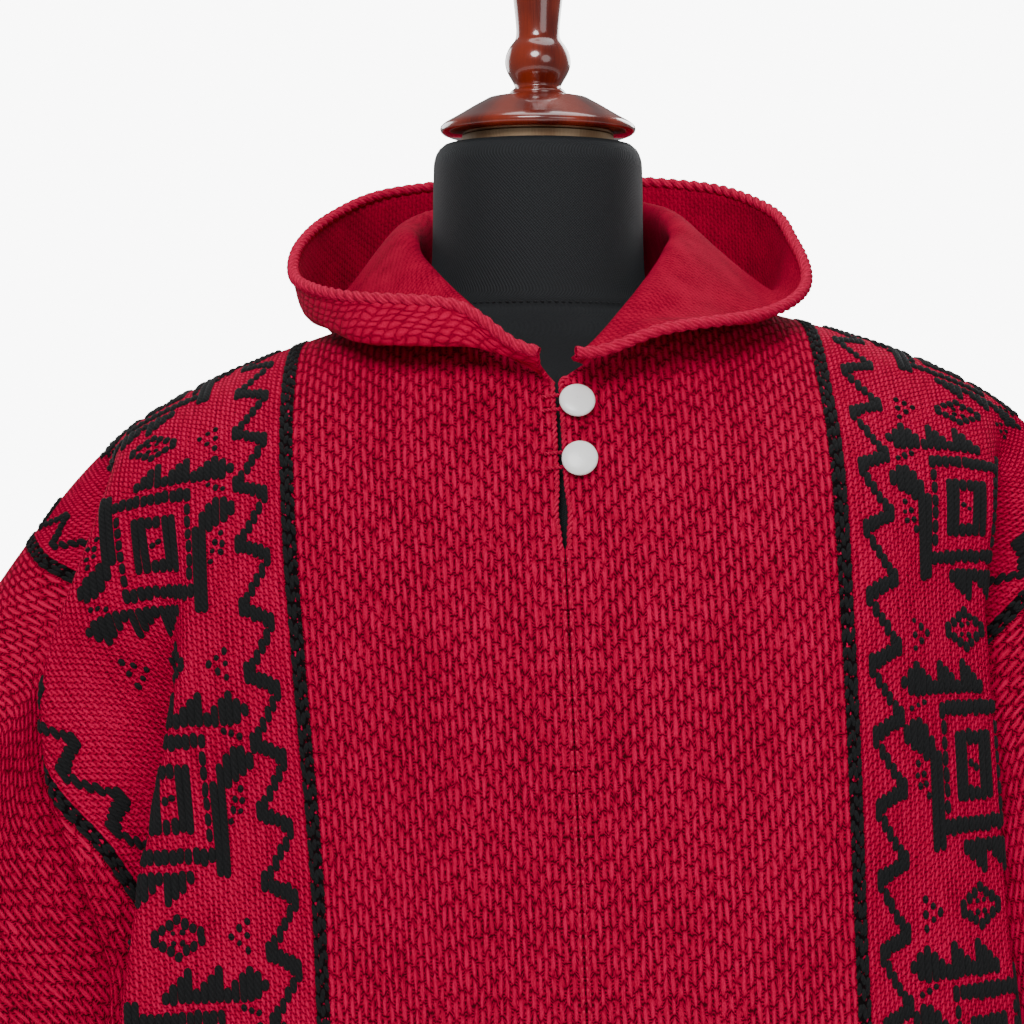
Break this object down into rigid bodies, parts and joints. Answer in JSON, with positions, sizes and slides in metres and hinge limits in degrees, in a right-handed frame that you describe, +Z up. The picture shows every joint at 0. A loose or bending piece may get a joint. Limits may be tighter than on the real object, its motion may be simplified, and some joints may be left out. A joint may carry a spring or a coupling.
{
  "type": "hooded andean poncho on a black dress form",
  "caption": "Open hooded wool poncho with woven bands, worn by a black limbless dress form on a turned wooden stand.",
  "frame": {"origin": "centre of the round base's flat underside, on the floor", "axes": "+Z up, the poncho's front faces -Y, +X is towards the right of a person who faces the front"},
  "size_m": [0.9905, 0.42, 1.652],
  "materials": {
    "poncho_wool": "hand-woven wool, matte with a slight nap",
    "hood_wool": "hand-woven wool, brushed inside",
    "trim_wool": "twisted wool yarn",
    "button": "gloss",
    "form_cloth": "fine twill, matte",
    "bare_wood": "bare, sanded",
    "varnished_wood": "gloss varnish"
  },
  "bodies": {
    "root": {"panel_left": "poncho_wool", "panel_right": "poncho_wool", "hood": "hood_wool", "hood_edging": "trim_wool", "button_upper": "button", "button_lower": "button", "loop_upper": "trim_wool", "loop_lower": "trim_wool", "form_body": "form_cloth", "cap_disc": "bare_wood", "neck_cap": "varnished_wood", "finial": "varnished_wood", "hip_plate": "bare_wood", "pole": "varnished_wood", "base": "varnished_wood"}
  },
  "joints": []
}
